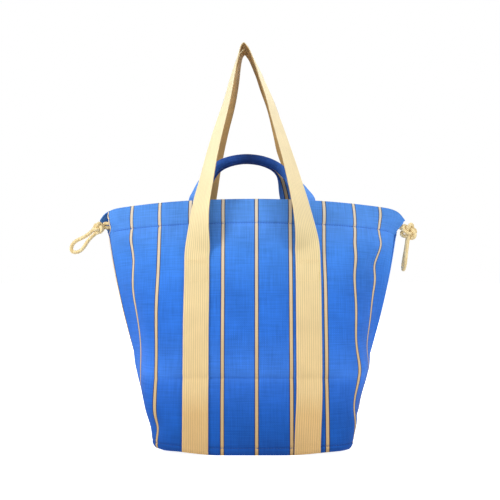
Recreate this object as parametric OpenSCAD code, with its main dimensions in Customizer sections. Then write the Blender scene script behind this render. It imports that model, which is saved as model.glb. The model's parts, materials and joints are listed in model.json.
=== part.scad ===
// Striped canvas tote: a rectangular canvas tube with a boxed base, a deep drawstring hem,
// two long webbing shoulder straps and two short rolled grab handles.
// Origin: middle of the base, on the surface it stands on. X runs along the width, Y through
// the depth (front is -Y), Z is up.

/* [Bag] */
// Width of one canvas panel laid flat, from side seam to side seam
panel_w = 480; // [470:2:490]
// Height of the mouth above the base, at the middle of the front
bag_h = 370; // [365:1:375]
// Canvas thickness
canvas_t = 1.2; // [1:0.1:1.3]
// Depth of the hem that carries the drawstring
hem_h = 38; // [37:1:40]
// Drop of the rim from its middle to the side seams
rim_drop = 13; // [10:1:15]

/* [Straps] */
// Width of the shoulder strap webbing
webbing_w = 38; // [34:1:38]
// Webbing thickness
webbing_t = 2; // [1.6:0.1:2.2]
// Distance of each strap leg from the middle of the bag
strap_x = 82; // [81:0.5:83]
// Height at which the strap leaves its stitching and becomes free
stitch_top = 292; // [291:0.5:293]

/* [Grab handles] */
// Diameter of the rolled grip
grip_d = 14; // [12:0.5:14]
// Diameter of the cord core inside the grip
core_d = 9; // [7:0.5:9.5]
// Width of the flattened handle leg
leg_w = 22; // [18:1:24]
// Thickness of the flattened handle leg
leg_t = 3.4; // [2.4:0.2:3.6]

/* [Drawstring] */
// Drawstring diameter
cord_d = 6; // [5:0.5:6]
// Radius of the round left knot
left_knot_r = 10; // [9:0.5:10]
// Radius of the longer right knot
right_knot_r = 11; // [10:0.5:11]

/* [Hidden] */

canvas_blue = "#3f7fe4";
canvas_dark = "#2f66c4";
webbing_sand = "#ecd297";
cord_sand = "#e3c98c";
core_white = "#eeeae0";

// Clearance between sewn layers, and between pieces that move
gap = 0.3;
half_w = panel_w / 2;

// ---------------------------------------------------------------- canvas shell
// The shell is described by s, the distance along the cloth from the middle of a panel, and t,
// the height up the cloth from 0 at the base to 1 at the rim. The cloth's direction turns as s
// grows: a little all the way, and sharply at the base corner, which fades out towards the rim.
corner_s = 139;
corner_shift = 22;
corner_half = 30;
corner_spread = 8;
rim_turn = 27;
base_turn = 4;
corner_turn = 87;
rim_power = 1.08;
corner_power = 1.12;
arc_steps = 48;

function ease(q) = let(c = min(1, max(0, q))) c * c * (3 - 2 * c);
function corner_part(s, t) =
    ease((s - corner_s - corner_shift * t) / (2 * (corner_half + corner_spread * t)) + 0.5);
function heading(s, t) =
    (base_turn + rim_turn * pow(t, rim_power)) * s / half_w
    + corner_turn * (1 - pow(t, corner_power)) * corner_part(s, t);

// Half of one panel's section at height t, as [x, y, heading] every half_w / arc_steps
arc_step = half_w / arc_steps;
function half_section(t) = [
    for (i = 0, x = 0, y = 0; i <= arc_steps;
         x = x + arc_step * cos(heading((i + 0.5) * arc_step, t)),
         y = y + arc_step * sin(heading((i + 0.5) * arc_step, t)),
         i = i + 1)
        [x, y, heading(i * arc_step, t)]
];
function sampled(section, s) =
    let(k = min(arc_steps - 0.001, abs(s) / arc_step), i = floor(k), f = k - i)
    section[i] * (1 - f) + section[i + 1] * f;

// The hem's ends are drawn out sideways into small ears by the cord's knots
ear_out = 8;
ear_v = 364;
ear_half = 9;
function ear(s, t) =
    ear_out * pow(abs(s) / half_w, 14) * exp(-pow((t * bag_h - ear_v) / ear_half, 2));

tip_drop = 9;
function cloth_z(s, t) =
    t * (bag_h - rim_drop * pow(s / half_w, 2) - tip_drop * pow(abs(s) / half_w, 24));

// Point of the front panel, inset from its outer face along the cloth's normal
function cloth_point(section, s, t, inset) =
    let(p = sampled(section, s), side = s < 0 ? -1 : 1, depth = section[arc_steps][1])
    [side * (p[0] - inset * sin(p[2]) + ear(s, t)),
     min(-0.2, p[1] - depth + inset * cos(p[2])),
     cloth_z(s, t)];
function cloth_row(t, columns, inset) =
    let(section = half_section(t)) [for (s = columns) cloth_point(section, s, t, inset)];

// ---------------------------------------------------------------- mesh helpers
function flat(rows) = [for (row = rows) for (p = row) p];
function two_triangles(a, b, c, d) = [[a, b, c], [a, c, d]];

// Closed solid between an outer and an inner grid of points
module slab(outer, inner) {
    rows = len(outer);
    cols = len(outer[0]);
    shift = rows * cols;
    function o(r, c) = r * cols + c;
    function n(r, c) = shift + r * cols + c;
    faces = concat(
        [for (r = [0:rows - 2]) for (c = [0:cols - 2]) each
            two_triangles(o(r, c), o(r + 1, c), o(r + 1, c + 1), o(r, c + 1))],
        [for (r = [0:rows - 2]) for (c = [0:cols - 2]) each
            two_triangles(n(r, c), n(r, c + 1), n(r + 1, c + 1), n(r + 1, c))],
        [for (c = [0:cols - 2]) each
            two_triangles(o(0, c), o(0, c + 1), n(0, c + 1), n(0, c))],
        [for (c = [0:cols - 2]) each
            two_triangles(o(rows - 1, c + 1), o(rows - 1, c), n(rows - 1, c), n(rows - 1, c + 1))],
        [for (r = [0:rows - 2]) each
            two_triangles(o(r + 1, 0), o(r, 0), n(r, 0), n(r + 1, 0))],
        [for (r = [0:rows - 2]) each
            two_triangles(o(r, cols - 1), o(r + 1, cols - 1), n(r + 1, cols - 1), n(r, cols - 1))]
    );
    polyhedron(concat(flat(outer), flat(inner)), faces);
}

// Solid swept through a list of rings, closed by a fan at each end
module sweep(rings) {
    count = len(rings);
    sides = len(rings[0]);
    function v(i, k) = i * sides + (k % sides);
    faces = concat(
        [for (i = [0:count - 2]) for (k = [0:sides - 1]) each
            two_triangles(v(i, k), v(i + 1, k), v(i + 1, k + 1), v(i, k + 1))],
        [for (k = [1:sides - 2]) [v(0, 0), v(0, k), v(0, k + 1)]],
        [for (k = [1:sides - 2]) [v(count - 1, 0), v(count - 1, k + 1), v(count - 1, k)]]
    );
    polyhedron(flat(rings), faces);
}

// Hollow tube between two lists of rings
module hollow_sweep(outer, inner) {
    count = len(outer);
    sides = len(outer[0]);
    shift = count * sides;
    function o(i, k) = i * sides + (k % sides);
    function n(i, k) = shift + i * sides + (k % sides);
    last = count - 1;
    faces = concat(
        [for (i = [0:count - 2]) for (k = [0:sides - 1]) each
            two_triangles(o(i, k), o(i + 1, k), o(i + 1, k + 1), o(i, k + 1))],
        [for (i = [0:count - 2]) for (k = [0:sides - 1]) each
            two_triangles(n(i, k), n(i, k + 1), n(i + 1, k + 1), n(i + 1, k))],
        [for (k = [0:sides - 1]) each
            two_triangles(o(0, k), o(0, k + 1), n(0, k + 1), n(0, k))],
        [for (k = [0:sides - 1]) each
            two_triangles(o(last, k + 1), o(last, k), n(last, k), n(last, k + 1))]
    );
    polyhedron(concat(flat(outer), flat(inner)), faces);
}

function unit(v) = v / norm(v);
function tangent(path, i) =
    unit(path[min(len(path) - 1, i + 1)] - path[max(0, i - 1)]);

// Smooth curve through hand-placed points: each span is cut into parts
function blend_points(a, b, c, d, f) =
    0.5 * (2 * b + (c - a) * f + (2 * a - 5 * b + 4 * c - d) * f * f
           + (3 * b - a - 3 * c + d) * f * f * f);
function smooth(points, parts) = [
    for (i = [0:len(points) - 2]) for (j = [0:parts - 1])
        blend_points(points[max(0, i - 1)], points[i], points[i + 1],
                     points[min(len(points) - 1, i + 2)], j / parts),
    points[len(points) - 1]
];

// Oval ring about a centre, half sizes a and b along the unit vectors u and w
function oval(centre, u, w, a, b, sides) = [
    for (k = [0:sides - 1])
        centre + u * a * cos(360 * k / sides) + w * b * sin(360 * k / sides)
];

// ---------------------------------------------------------------- bag
column_step = 15;
panel_columns = [for (s = [-half_w:column_step:half_w]) s];
base_t = 1.5;
first_row = (base_t + gap) / bag_h;

// Slot at each end of the hem, where the two strands of the drawstring come out
slot_low = 0.922;
slot_high = 0.966;
slot_ramp = 0.01;
slot_cut = 9;
function slot_part(t) =
    min(1, max(0, min((t - slot_low + slot_ramp), (slot_high + slot_ramp - t)) / slot_ramp));
panel_rows = [
    first_row, 0.03, 0.07, 0.13, 0.2, 0.3, 0.4, 0.5, 0.6, 0.7, 0.8, 0.87,
    slot_low - slot_ramp, slot_low, 0.944, slot_high, slot_high + slot_ramp, 0.988, 1
];
function slotted(columns, t) =
    [for (s = columns) s * (half_w - slot_cut * slot_part(t)) / half_w];

module half_shell() {
    slab([for (t = panel_rows) cloth_row(t, slotted(panel_columns, t), 0)],
         [for (t = panel_rows) cloth_row(t, slotted(panel_columns, t), canvas_t)]);
}

module front_panel() {
    color(canvas_blue) half_shell();
}

module back_panel() {
    color(canvas_blue) mirror([0, 1, 0]) half_shell();
}

// Outline of the base, inset from the shell's outer face
function base_outline(inset) =
    let(front = [for (p = cloth_row(first_row, panel_columns, inset)) [p[0], p[1]]])
    concat(front, [for (i = [len(front) - 1:-1:0]) [front[i][0], -front[i][1]]]);

module base_panel() {
    color(canvas_blue) linear_extrude(base_t) polygon(base_outline(0));
}

// Bound edge of the seam that joins the base to the walls, inside the bag
binding_t = 1.5;
binding_h = 10;
module base_seam_binding() {
    wall_inset = canvas_t + 2 * gap;
    color(canvas_dark)
    translate([0, 0, base_t + gap])
    linear_extrude(binding_h)
    difference() {
        polygon(base_outline(wall_inset));
        polygon(base_outline(wall_inset + binding_t));
    }
}

// Bound edges of a side seam: a fin that points into the bag
fin_out = 6.5;
fin_in = 18;
fin_half = 1.4;
fin_rows = [0.045, 0.1, 0.2, 0.3, 0.4, 0.5, 0.6, 0.7, 0.8, 0.87];
function fin_row(t, y) =
    let(x = half_section(t)[arc_steps][0], z = cloth_z(half_w, t))
    [[x - fin_in, y, z], [x - fin_out, y, z]];

module seam_fin() {
    slab([for (t = fin_rows) fin_row(t, -fin_half)], [for (t = fin_rows) fin_row(t, fin_half)]);
}

module right_seam_binding() {
    color(canvas_dark) seam_fin();
}

module left_seam_binding() {
    color(canvas_dark) mirror([1, 0, 0]) seam_fin();
}

// Inner layer of the hem: it touches the panel above and below, and stands off it along the
// middle to leave the tunnel that the drawstring runs in
tunnel = cord_d + 3 * gap;
casing_end = 215;
casing_columns = [for (k = [-14:14]) casing_end * k / 14];
casing_rows = [[hem_h, 0], [hem_h - 2, 0], [hem_h - 4.5, 1], [14, 1], [8, 0.45], [1.5, 0]];
function casing_grid(extra) = [
    for (row = casing_rows)
        cloth_row(1 - row[0] / bag_h, casing_columns,
                  canvas_t + gap + (tunnel - gap) * row[1] + extra)
];

module casing() {
    slab(casing_grid(0), casing_grid(canvas_t));
}

module front_casing() {
    color(canvas_blue) casing();
}

module back_casing() {
    color(canvas_blue) mirror([0, 1, 0]) casing();
}

// ---------------------------------------------------------------- drawstring in the hem
// The front strand runs above the back one, so the two leave the slots one above the other
front_cord_t = 0.9384;
back_cord_t = 0.9203;
cord_reach = 222;
cord_inset = canvas_t + gap + cord_d / 2 + 0.1;
cord_sides = 10;
function hem_cord_rings(t) =
    let(section = half_section(t))
    [for (k = [-15:15])
        let(s = cord_reach * k / 15, p = sampled(section, s), side = s < 0 ? -1 : 1)
        oval(cloth_point(section, s, t, cord_inset),
             [side * sin(p[2]), -cos(p[2]), 0], [0, 0, 1], cord_d / 2, cord_d / 2, cord_sides)];

module drawstring_front() {
    color(cord_sand) sweep(hem_cord_rings(front_cord_t));
}

module drawstring_back() {
    color(cord_sand) mirror([0, 1, 0]) sweep(hem_cord_rings(back_cord_t));
}

// ---------------------------------------------------------------- knots and pull loops
upper_strand_z = 335.5;
lower_strand_z = 329;
neck_start = 219;
neck_end = 233.2;
left_knot_at = [-243.5, 0, 330];
right_knot_at = [245, 0, 325];
right_knot_half = 4;

module cord_neck() {
    for (z = [lower_strand_z, upper_strand_z])
        translate([neck_start, 0, z])
        rotate([0, 90, 0])
        cylinder(d = cord_d, h = neck_end - neck_start, $fn = 32);
}

module right_cord_neck() {
    color(cord_sand) cord_neck();
}

module left_cord_neck() {
    color(cord_sand) mirror([1, 0, 0]) cord_neck();
}

module left_knot() {
    color(cord_sand) translate(left_knot_at) sphere(r = left_knot_r, $fn = 48);
}

module right_knot() {
    color(cord_sand)
    translate(right_knot_at - [0, 0, right_knot_half])
    union() {
        sphere(r = right_knot_r, $fn = 48);
        cylinder(r = right_knot_r, h = 2 * right_knot_half, $fn = 48);
        translate([0, 0, 2 * right_knot_half]) sphere(r = right_knot_r, $fn = 48);
    }
}

// Route of each loop: distance from the knot's centre along the loop, then sideways
left_loop_route = [
    [10.6, 3.3], [17, 3.3], [24, 4], [31, 5.8], [38, 7.6], [44, 8], [49, 6.6], [53, 3.6],
    [54.5, 0],
    [53, -3.6], [49, -6.6], [44, -8], [38, -7.6], [31, -5.8], [24, -4], [17, -3.3], [10.6, -3.3]
];
right_loop_route = [
    [15.8, 3.3], [22, 3.3], [29, 3.8], [36, 5], [43, 6.6], [50, 7.2], [55, 6.2], [59, 3.6],
    [60.5, 0],
    [59, -3.6], [55, -6.2], [50, -7.2], [43, -6.6], [36, -5], [29, -3.8], [22, -3.3],
    [15.8, -3.3]
];
left_loop_angle = 41;
right_loop_angle = 8;

module cord_loop(route, at, along, across) {
    path = [for (p = route) at + along * p[0] + across * p[1]];
    normal = cross(along, across);
    sweep([for (i = [0:len(path) - 1])
        oval(path[i], cross(tangent(path, i), normal), normal, cord_d / 2, cord_d / 2, cord_sides)]);
}

module left_loop() {
    along = [-cos(left_loop_angle), 0, -sin(left_loop_angle)];
    across = [sin(left_loop_angle), 0, -cos(left_loop_angle)];
    color(cord_sand) cord_loop(left_loop_route, left_knot_at, along, across);
}

module right_loop() {
    along = [-sin(right_loop_angle), 0, -cos(right_loop_angle)];
    color(cord_sand) cord_loop(right_loop_route, right_knot_at, along, [0, 1, 0]);
}

// ---------------------------------------------------------------- shoulder straps
sewn_top_row = (stitch_top - gap) / (bag_h - rim_drop * pow(strap_x / half_w, 2));
sewn_rows = [
    first_row, 0.03, 0.07, 0.13, 0.2, 0.3, 0.4, 0.5, 0.6, 0.7, sewn_top_row
];
sewn_columns = [for (k = [0:4]) strap_x - webbing_w / 2 + webbing_w * k / 4];

module sewn_leg() {
    slab([for (t = sewn_rows) cloth_row(t, sewn_columns, -gap - webbing_t)],
         [for (t = sewn_rows) cloth_row(t, sewn_columns, -gap)]);
}

module front_strap_sewn_right() {
    color(webbing_sand) sewn_leg();
}

module front_strap_sewn_left() {
    color(webbing_sand) mirror([1, 0, 0]) sewn_leg();
}

module back_strap_sewn_right() {
    color(webbing_sand) mirror([0, 1, 0]) sewn_leg();
}

module back_strap_sewn_left() {
    color(webbing_sand) mirror([0, 1, 0]) mirror([1, 0, 0]) sewn_leg();
}

// The free webbing starts a little above its stitching, so that it can fold over it
free_gap = 2;
// Centre line of the free webbing, [x, y, z, twist]: twist turns the width from along X, where
// the webbing leaves the canvas, to along Y, where it passes over the hand or hook
strap_route = [
    [-81, -72.6, stitch_top + free_gap, 8], [-80, -74, 310, 22], [-79, -74.5, 328, 34],
    [-77, -74, 350, 43], [-74, -72.5, 370, 48], [-68, -68.5, 398, 54], [-62, -63, 428, 59],
    [-54, -56, 462, 63], [-46, -49.5, 492, 67], [-38, -42, 522, 72], [-32, -35, 550, 76],
    [-26.5, -28, 575, 81], [-21, -22.5, 595, 86],
    [-17.5, -20.5, 604, 88], [-13, -20, 608, 90], [-8, -20.5, 604, 88],
    [-2, -22.5, 595, 86], [7, -28, 575, 81], [16, -35, 550, 76],
    [26, -42, 522, 72], [35, -49.5, 492, 67], [44, -56, 462, 63],
    [54, -63, 428, 59], [62, -68.5, 398, 54], [69, -72.5, 370, 48],
    [73.5, -74, 350, 43], [77.5, -74.5, 328, 34], [80, -74, 310, 22],
    [81, -72.6, stitch_top + free_gap, 8]
];
strap_parts = 2;

function strap_ring(p, along) =
    let(centre = [p[0], p[1], p[2]], level = unit(cross([0, 1, 0], along)),
        deep = cross(along, level), wide = level * cos(p[3]) - deep * sin(p[3]),
        thick = cross(along, wide), a = wide * webbing_w / 2, b = thick * webbing_t / 2)
    [centre - a - b, centre + a - b, centre + a + b, centre - a + b];

module strap_loop() {
    route = smooth(strap_route, strap_parts);
    path = [for (p = route) [p[0], p[1], p[2]]];
    sweep([for (i = [0:len(route) - 1]) strap_ring(route[i], tangent(path, i))]);
}

module front_strap_loop() {
    color(webbing_sand) strap_loop();
}

module back_strap_loop() {
    color(webbing_sand) mirror([0, 1, 0]) strap_loop();
}

// ---------------------------------------------------------------- grab handles
// Each handle is a tube of canvas, stuffed with a cord core along the grip and pressed flat
// below it. It stands in a plane that leans from the rim to the middle of the bag.
tab_top = 361;
tab_h = 26;
tab_inset = canvas_t + tunnel + canvas_t + 3 * gap;
handle_foot_y = 45.5;
handle_foot_z = 368.5;
handle_top_z = 436;
grip_y = grip_d / 2 + gap + 0.4;
lean_ratio = (handle_foot_y - grip_y) / (handle_top_z - handle_foot_z);
handle_sides = 12;

// Centre line of each handle, [x, z], from its left foot to its right foot
front_handle_route = [
    [-85, handle_foot_z], [-81, 378], [-76, 389], [-70, 401], [-64, 412], [-56, 421.5],
    [-45, 428.5], [-30, 433.5], [-11, handle_top_z], [8, 434.5], [24, 430], [37, 423.5],
    [47, 415], [56, 405], [66, 393], [75, 381], [84, handle_foot_z]
];
back_handle_route = [
    [-85, handle_foot_z], [-82, 379], [-78, 390], [-72.5, 401], [-65, 412], [-56, 421.5],
    [-45, 428.5], [-30, 433.5], [-11, handle_top_z], [8, 434.5], [23, 430.5], [35, 424.5],
    [43.5, 416], [48.5, 405], [52, 393], [55, 381], [57, handle_foot_z]
];
grip_first = 5;
grip_last = 12;
// Width and thickness of the leg at its five or six route points, foot first
leg_sizes = [[leg_w, leg_t], [leg_w, leg_t], [leg_w, leg_t], [leg_w - 1, 5], [19, 9],
             [grip_d, grip_d]];

function handle_point(p) = [p[0], -handle_foot_y + lean_ratio * (p[1] - handle_foot_z), p[1]];
handle_normal = unit([0, -1, lean_ratio]);
function handle_ring(path, i, width, thick) =
    let(along = tangent(path, i), wide = cross(along, handle_normal))
    oval(path[i], wide, handle_normal, width / 2, thick / 2, handle_sides);

function grip_rings(route, d, trim) =
    let(path = [for (p = route) handle_point(p)], fine = smooth(path, 2))
    [for (i = [2 * grip_first + trim:2 * grip_last - trim]) handle_ring(fine, i, d, d)];

module grip(route) {
    hollow_sweep(grip_rings(route, grip_d, 0), grip_rings(route, core_d + 2 * gap, 0));
}

module core(route) {
    sweep(grip_rings(route, core_d, 0));
}

module leg(route, first, last) {
    path = [for (p = route) handle_point(p)];
    rising = first < last;
    count = abs(last - first);
    shift = len(leg_sizes) - 1 - count;
    sweep([for (k = [0:count])
        let(j = rising ? k : count - k, i = rising ? first + k : last + k,
            size = leg_sizes[j == 0 ? 0 : j + shift],
            ring = handle_ring(path, i, size[0], size[1]),
            step = tangent(path, i) * gap / 2)
        [for (p = ring) j == count ? p + (rising ? -step : step) : p]]);
}

module tab(x) {
    columns = [for (k = [-1:1]) x + leg_w / 2 * k];
    rows = [for (z = [tab_top - tab_h, tab_top - tab_h / 2, tab_top]) z / cloth_z(x, 1)];
    slab([for (t = rows) cloth_row(t, columns, tab_inset)],
         [for (t = rows) cloth_row(t, columns, tab_inset + leg_t)]);
}

last_point = len(front_handle_route) - 1;

module front_handle_tab_left() {
    color(canvas_blue) tab(front_handle_route[0][0]);
}

module front_handle_tab_right() {
    color(canvas_blue) tab(front_handle_route[last_point][0]);
}

module back_handle_tab_left() {
    color(canvas_blue) mirror([0, 1, 0]) tab(back_handle_route[0][0]);
}

module back_handle_tab_right() {
    color(canvas_blue) mirror([0, 1, 0]) tab(back_handle_route[last_point][0]);
}

module front_handle_leg_left() {
    color(canvas_blue) leg(front_handle_route, 0, grip_first);
}

module front_handle_leg_right() {
    color(canvas_blue) leg(front_handle_route, last_point, grip_last);
}

module front_handle_grip() {
    color(canvas_blue) grip(front_handle_route);
}

module front_handle_core() {
    color(core_white) core(front_handle_route);
}

module back_handle_leg_left() {
    color(canvas_blue) mirror([0, 1, 0]) leg(back_handle_route, 0, grip_first);
}

module back_handle_leg_right() {
    color(canvas_blue) mirror([0, 1, 0]) leg(back_handle_route, last_point, grip_last);
}

module back_handle_grip() {
    color(canvas_blue) mirror([0, 1, 0]) grip(back_handle_route);
}

module back_handle_core() {
    color(core_white) mirror([0, 1, 0]) core(back_handle_route);
}

front_panel();
back_panel();
base_panel();
front_casing();
back_casing();
left_seam_binding();
right_seam_binding();
base_seam_binding();
front_strap_sewn_left();
front_strap_sewn_right();
back_strap_sewn_left();
back_strap_sewn_right();
front_strap_loop();
back_strap_loop();
front_handle_tab_left();
front_handle_tab_right();
back_handle_tab_left();
back_handle_tab_right();
front_handle_leg_left();
front_handle_leg_right();
front_handle_grip();
front_handle_core();
back_handle_leg_left();
back_handle_leg_right();
back_handle_grip();
back_handle_core();
drawstring_front();
drawstring_back();
left_cord_neck();
right_cord_neck();
left_knot();
right_knot();
left_loop();
right_loop();
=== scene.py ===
# %% [markdown]
# # A striped canvas tote with a drawstring hem
# The bag is sewn from flat pieces: two striped walls, a base, two webbing shoulder straps and
# two rolled grab handles. Each piece is made here the way a sewing room makes it. It is cut flat
# as a grid, its place on the cutting table is kept as its UV map in metres, it is bent to where
# it hangs, and only then is it given its thickness. The frame holds the sizes and the joints.

# %% Load the frame
import json
import math

import bpy
import numpy as np
from mathutils import Matrix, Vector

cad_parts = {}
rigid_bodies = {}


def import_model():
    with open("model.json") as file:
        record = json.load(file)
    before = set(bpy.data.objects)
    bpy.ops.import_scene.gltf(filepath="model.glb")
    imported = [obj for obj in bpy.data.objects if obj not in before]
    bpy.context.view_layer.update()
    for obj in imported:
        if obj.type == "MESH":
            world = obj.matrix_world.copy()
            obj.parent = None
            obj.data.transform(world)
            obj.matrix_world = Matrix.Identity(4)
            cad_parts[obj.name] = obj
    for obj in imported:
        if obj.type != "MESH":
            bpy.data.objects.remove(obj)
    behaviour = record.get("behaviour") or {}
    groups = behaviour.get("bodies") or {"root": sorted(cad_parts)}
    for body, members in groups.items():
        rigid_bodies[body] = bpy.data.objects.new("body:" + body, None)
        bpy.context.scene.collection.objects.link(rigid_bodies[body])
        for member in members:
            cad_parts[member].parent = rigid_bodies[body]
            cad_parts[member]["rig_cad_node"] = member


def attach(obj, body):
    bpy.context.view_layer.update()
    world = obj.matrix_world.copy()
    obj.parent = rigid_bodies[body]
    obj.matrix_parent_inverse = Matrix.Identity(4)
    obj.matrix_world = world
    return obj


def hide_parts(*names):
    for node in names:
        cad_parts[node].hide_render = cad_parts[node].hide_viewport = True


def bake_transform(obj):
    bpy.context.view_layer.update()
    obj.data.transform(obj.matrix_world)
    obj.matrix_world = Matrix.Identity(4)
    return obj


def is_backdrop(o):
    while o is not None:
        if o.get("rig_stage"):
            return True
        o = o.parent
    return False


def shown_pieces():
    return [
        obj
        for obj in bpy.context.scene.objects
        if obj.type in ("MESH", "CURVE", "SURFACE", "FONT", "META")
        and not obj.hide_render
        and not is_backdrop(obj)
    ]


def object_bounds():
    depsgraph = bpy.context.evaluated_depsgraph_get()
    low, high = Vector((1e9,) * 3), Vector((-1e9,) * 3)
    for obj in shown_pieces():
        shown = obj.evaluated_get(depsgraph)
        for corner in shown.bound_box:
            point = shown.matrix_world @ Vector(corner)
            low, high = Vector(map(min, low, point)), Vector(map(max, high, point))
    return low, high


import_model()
cad_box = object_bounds()
mm = 0.001

# %% [markdown]
# ## Camera
# The bag is seen straight on, from half the height of its standing straps. A lens of 57.6 mm, a
# little longer than normal, keeps the two straps and the box shape in their true proportion.

# %% Set up the camera
camera_data = bpy.data.cameras.new("studio_camera")
camera_data.lens = 57.6
camera_data.sensor_width = 36.0
camera_data.clip_end = 20.0
camera = bpy.data.objects.new("studio_camera", camera_data)
bpy.context.scene.collection.objects.link(camera)
camera.location = (-3.6 * mm, -1250 * mm, 294 * mm)
camera.rotation_euler = (math.radians(90), 0, 0)
bpy.context.scene.camera = camera

# %% [markdown]
# ## Working by hand in code
# A new primitive is selected all over and the frame's own nodes are selected too, so everything
# is let go first. The small helpers here do what a hand does: let go of everything, pick one
# piece up, join pieces, apply a modifier, and weld points that lie on each other.


# %% Small tools
def let_go():
    """Nothing is selected, and nothing is in edit mode."""
    if bpy.context.mode != "OBJECT":
        bpy.ops.object.mode_set(mode="OBJECT")
    bpy.ops.object.select_all(action="DESELECT")


def pick(piece):
    """Only this piece is selected."""
    let_go()
    piece.select_set(True)
    bpy.context.view_layer.objects.active = piece


def join(pieces, name):
    """Makes one piece of several."""
    pick(pieces[0])
    for piece in pieces[1:]:
        piece.select_set(True)
    bpy.ops.object.join()
    pieces[0].name = name
    return pieces[0]


def finish_modifier(piece, kind, **settings):
    """Adds a modifier with its settings and applies it."""
    pick(piece)
    modifier = piece.modifiers.new(kind.lower(), kind)
    for name, value in settings.items():
        setattr(modifier, name, value)
    bpy.ops.object.modifier_apply(modifier=modifier.name)


def weld(piece, distance=0.02 * mm):
    """Merges doubled points and turns every face outwards."""
    pick(piece)
    bpy.ops.object.mode_set(mode="EDIT")
    bpy.ops.mesh.select_all(action="SELECT")
    bpy.ops.mesh.remove_doubles(threshold=distance)
    bpy.ops.mesh.normals_make_consistent(inside=False)
    bpy.ops.object.mode_set(mode="OBJECT")


def smooth(piece, angle=50):
    """Smooth shading, with an edge kept wherever faces meet at more than the angle."""
    pick(piece)
    bpy.ops.object.shade_smooth_by_angle(angle=math.radians(angle))


def points_of(piece):
    """The piece's points as an array."""
    points = np.zeros(len(piece.data.vertices) * 3)
    piece.data.vertices.foreach_get("co", points)
    return points.reshape(-1, 3)


def move_points(piece, points):
    """Puts the piece's points where the array says."""
    piece.data.vertices.foreach_set("co", np.asarray(points, float).ravel())
    piece.data.update()


# %% [markdown]
# ## Cutting and bending cloth
# A sheet could be made by extruding an edge many times, but then its threads would have no
# natural direction. A grid primitive is a better start: its columns and rows are the warp and
# the weft. The UV map holds each point's place on the cutting table in metres, so a pattern
# drawn at 50 mm on the flat cloth stays 50 mm when the cloth hangs.


# %% Cut a flat piece
def cut_cloth(name, columns, rows):
    """A flat grid with a column line at each of columns and a row line at each of rows."""
    let_go()
    bpy.ops.mesh.primitive_grid_add(
        x_subdivisions=len(columns) - 1, y_subdivisions=len(rows) - 1, size=1.0
    )
    cloth = bpy.context.active_object
    cloth.name = name
    cloth.data.name = name
    points = points_of(cloth)
    column = np.rint((points[:, 0] + 0.5) * (len(columns) - 1)).astype(int)
    row = np.rint((points[:, 1] + 0.5) * (len(rows) - 1)).astype(int)
    flat = np.stack([np.asarray(columns)[column], np.asarray(rows)[row], 0.0 * row], -1)
    move_points(cloth, flat)
    for label, values in (("across", flat[:, 0]), ("along", flat[:, 1])):
        kept = cloth.data.attributes.new(label, "FLOAT", "POINT")
        kept.data.foreach_set("value", values.astype(np.float32))
    corner = np.zeros(len(cloth.data.loops), int)
    cloth.data.loops.foreach_get("vertex_index", corner)
    cloth.data.uv_layers[0].name = "cut"
    cloth.data.uv_layers["cut"].data.foreach_set("uv", flat[corner, :2].ravel())
    return cloth


def trim(cloth, unwanted):
    """Cuts away the faces whose middle unwanted(u, v) says isn't part of the pattern."""
    pick(cloth)
    bpy.ops.object.mode_set(mode="EDIT")
    bpy.ops.mesh.select_mode(type="FACE")
    bpy.ops.mesh.select_all(action="DESELECT")
    bpy.ops.object.mode_set(mode="OBJECT")
    for face in cloth.data.polygons:
        face.select = bool(unwanted(face.center.x, face.center.y))
    bpy.ops.object.mode_set(mode="EDIT")
    bpy.ops.mesh.delete(type="FACE")
    bpy.ops.mesh.select_mode(type="VERT")
    bpy.ops.object.mode_set(mode="OBJECT")


def bend(cloth, place):
    """Moves each point from its flat place (u, v) to where place(u, v) says it hangs."""
    flat = points_of(cloth)
    move_points(cloth, place(flat[:, 0], flat[:, 1]))


def thicken(cloth, thickness, offset=0.0):
    """Gives the bent sheet its thickness, half on each side."""
    finish_modifier(cloth, "SOLIDIFY", thickness=thickness, offset=offset)


def kept_values(cloth, label):
    """The flat coordinate that each point still remembers."""
    values = np.zeros(len(cloth.data.vertices))
    cloth.data.attributes[label].data.foreach_get("value", values)
    return values


def emboss(cloth, height):
    """Raises each point along its normal by height(across, along)."""
    normals = np.zeros(len(cloth.data.vertices) * 3)
    cloth.data.vertices.foreach_get("normal", normals)
    raised = height(kept_values(cloth, "across"), kept_values(cloth, "along"))
    move_points(cloth, points_of(cloth) + normals.reshape(-1, 3) * raised[:, None])


def lay_strip(name, rings):
    """A strip cut as long as its own middle line and laid ring by ring: rings[row][column]."""
    middle = rings[:, rings.shape[1] // 2]
    steps = np.linalg.norm(np.diff(middle, axis=0), axis=1)
    rows = np.concatenate([[0.0], np.cumsum(steps)])
    widths = np.linalg.norm(np.diff(rings[len(rings) // 2], axis=0), axis=1)
    columns = np.concatenate([[0.0], np.cumsum(widths)])
    columns -= columns[-1] / 2
    strip = cut_cloth(name, columns, rows)

    def place(u, v):
        row = np.rint(np.interp(v, rows, np.arange(len(rows)))).astype(int)
        column = np.rint(np.interp(u, columns, np.arange(len(columns)))).astype(int)
        return rings[row, column]

    bend(strip, place)
    print(f"{name}: cut {columns[-1] * 2000:.0f} mm wide, {rows[-1] * 1000:.0f} mm long")
    return strip


# %% [markdown]
# ## The shape of a wall
# A wall is described by its own cloth: s runs across it from its middle to the side seam, and t
# runs up it from 0 at the base to 1 at the rim. The cloth's heading turns as s grows, a little
# all the way, and sharply at the base corner, which fades out towards the rim. Adding up short
# steps along that heading gives the section at each height, so the cloth keeps its width.

# %% Section of the bag at every height
panel_w = 480 * mm
half_w = panel_w / 2
bag_h = 370 * mm
canvas_t = 1.2 * mm
hem_h = 38 * mm
rim_drop = 13 * mm
tip_drop = 9 * mm
tip_power = 34
gap = 0.3 * mm
corner_at, corner_shift = 139 * mm, 22 * mm
corner_half, corner_spread = 30 * mm, 8 * mm
base_turn, rim_turn, corner_turn = 4, 27, 87
rim_power, corner_power = 1.08, 1.12


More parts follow.
